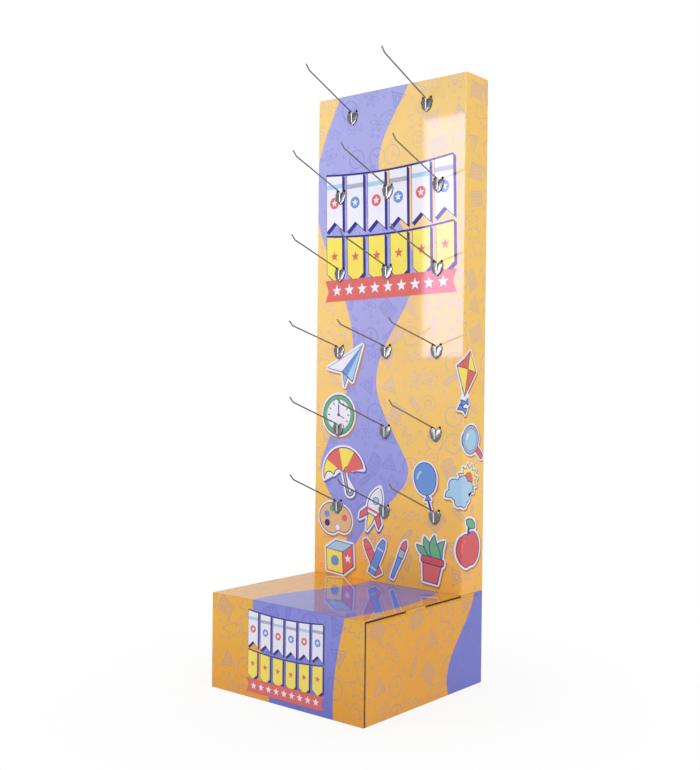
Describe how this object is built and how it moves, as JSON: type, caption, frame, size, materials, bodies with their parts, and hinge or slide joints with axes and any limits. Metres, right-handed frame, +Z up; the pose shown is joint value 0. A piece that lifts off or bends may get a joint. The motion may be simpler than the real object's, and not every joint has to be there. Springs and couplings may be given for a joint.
{
  "type": "point-of-sale display stand",
  "caption": "Floor display stand of folded printed board: a low base box, a tall shallow back column and rows of heart-plate wire hooks for hanging goods.",
  "frame": {"origin": "on the floor under the middle of the base box", "axes": "+Z up, -Y out of the front where the hooks point, +X to the right seen from the front"},
  "size_m": [0.4, 0.398, 1.3013],
  "materials": {
    "printed_board": "gloss laminated print on corrugated board, brown cut edges",
    "plain_board": "plain brown corrugated board",
    "hook_plate": "bright zinc plated pressed steel",
    "hook_wire": "bright zinc plated drawn wire"
  },
  "bodies": {
    "root": {"base_box": "printed_board", "back_column": "printed_board", "inner_sleeve": "plain_board", "hook_plate_r1c1": "hook_plate", "hook_plate_r1c2": "hook_plate", "hook_plate_r2c1": "hook_plate", "hook_plate_r2c2": "hook_plate", "hook_plate_r2c3": "hook_plate", "hook_plate_r3c1": "hook_plate", "hook_plate_r3c2": "hook_plate", "hook_plate_r3c3": "hook_plate", "hook_plate_r4c1": "hook_plate", "hook_plate_r4c2": "hook_plate", "hook_plate_r4c3": "hook_plate", "hook_plate_r5c1": "hook_plate", "hook_plate_r5c2": "hook_plate", "hook_plate_r5c3": "hook_plate", "hook_plate_r6c1": "hook_plate", "hook_plate_r6c2": "hook_plate", "hook_plate_r6c3": "hook_plate", "hook_wire_r1c1": "hook_wire", "hook_wire_r1c2": "hook_wire", "hook_wire_r2c1": "hook_wire", "hook_wire_r2c2": "hook_wire", "hook_wire_r2c3": "hook_wire", "hook_wire_r3c1": "hook_wire", "hook_wire_r3c2": "hook_wire", "hook_wire_r3c3": "hook_wire", "hook_wire_r4c1": "hook_wire", "hook_wire_r4c2": "hook_wire", "hook_wire_r4c3": "hook_wire", "hook_wire_r5c1": "hook_wire", "hook_wire_r5c2": "hook_wire", "hook_wire_r5c3": "hook_wire", "hook_wire_r6c1": "hook_wire", "hook_wire_r6c2": "hook_wire", "hook_wire_r6c3": "hook_wire"}
  },
  "joints": []
}
